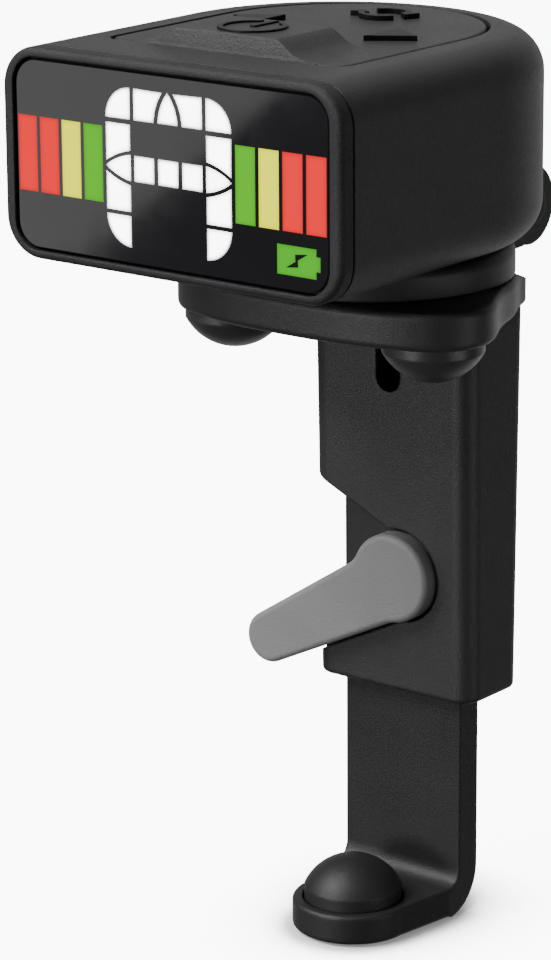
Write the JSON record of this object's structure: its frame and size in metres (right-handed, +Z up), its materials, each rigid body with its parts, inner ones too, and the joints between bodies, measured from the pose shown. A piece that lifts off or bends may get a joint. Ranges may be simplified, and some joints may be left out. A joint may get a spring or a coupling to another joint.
{
  "type": "clip on tuner",
  "caption": "Rechargeable clamp-on tuner: wide display head with a rocking keypad, on a swivelling tilt hinge, over a sliding C clamp with rubber pads and a lock lever.",
  "frame": {"origin": "midway between the tips of the two upper rubber pads, on the plane they press on the instrument", "axes": "+Z up along the clamp, +X to the right, the display faces -Y"},
  "size_m": [0.036, 0.0483, 0.0853],
  "materials": {
    "housing_plastic": "fine-grained charcoal moulding",
    "clamp_plastic": "fine-grained black moulding",
    "lever_plastic": "fine-grained mid grey moulding",
    "pad_rubber": "matte black rubber",
    "display_black": "polished black window",
    "light_white": "lit white diffuser",
    "light_red": "lit red diffuser",
    "light_yellow": "lit yellow diffuser",
    "light_green": "lit green diffuser",
    "icon_ink": "glossy black inlay",
    "steel": "satin steel",
    "brass_insert": "turned brass",
    "board_green": "solder mask",
    "chip_black": "moulded chips",
    "cell_wrap": "foil-wrapped cell",
    "glide_white": "low-friction washer"
  },
  "bodies": {
    "clamp": {"jaw_bracket": "clamp_plastic", "jaw_pad_left": "pad_rubber", "jaw_pad_right": "pad_rubber", "swivel_screw": "steel", "swivel_washer": "steel", "pressure_washer": "steel", "clamp_bolt": "steel"},
    "swivel": {"swivel_disc": "clamp_plastic", "glide_ring": "glide_white", "hinge_pin": "steel", "hinge_washers": "glide_white"},
    "head": {"front_bezel": "housing_plastic", "housing_shell": "housing_plastic", "bottom_cover": "housing_plastic", "cover_screws": "steel", "display_glass": "display_black", "display_module": "chip_black", "note_segments": "light_white", "bars_red": "light_red", "bars_yellow": "light_yellow", "bars_green": "light_green", "battery_icon": "light_green", "pivot_frame": "chip_black", "tact_switches": "chip_black", "circuit_board": "board_green", "board_chips": "chip_black", "board_screws": "steel", "battery_cell": "cell_wrap", "piezo_sensor": "brass_insert", "usb_socket": "steel"},
    "gimbal": {"gimbal_ring": "glide_white"},
    "keypad": {"keypad_cap": "housing_plastic", "keypad_icons": "icon_ink"},
    "slider": {"slider_foot": "clamp_plastic", "foot_pad": "pad_rubber"},
    "lever": {"lock_lever": "lever_plastic", "lever_nut": "brass_insert"}
  },
  "joints": [
    {"name": "head_swivel", "type": "hinge", "parent": "clamp", "child": "swivel", "pos_m": [0, 0.006, 0.0087], "axis": [0, 0, 1], "continuous": true},
    {"name": "head_tilt", "type": "hinge", "parent": "swivel", "child": "head", "pos_m": [0, 0.0222, 0.0111], "axis": [-1, 0, 0], "range_deg": [0, 90]},
    {"name": "keypad_pitch", "type": "hinge", "parent": "head", "child": "gimbal", "pos_m": [0, -0.0002, 0.0252], "axis": [1, 0, 0], "range_deg": [-1.2, 1.2], "stiffness_Nm_per_rad": 0.08},
    {"name": "keypad_roll", "type": "hinge", "parent": "gimbal", "child": "keypad", "pos_m": [0, -0.0002, 0.0252], "axis": [0, 1, 0], "range_deg": [-1.5, 1.5], "stiffness_Nm_per_rad": 0.08},
    {"name": "foot_slide", "type": "slide", "parent": "clamp", "child": "slider", "axis": [0, 0, 1], "range_m": [-0.005, 0.0085]},
    {"name": "lever_turn", "type": "hinge", "parent": "clamp", "child": "lever", "pos_m": [0.00095, 0.008, -0.0216], "axis": [0, 1, 0], "range_deg": [0, 50]}
  ]
}
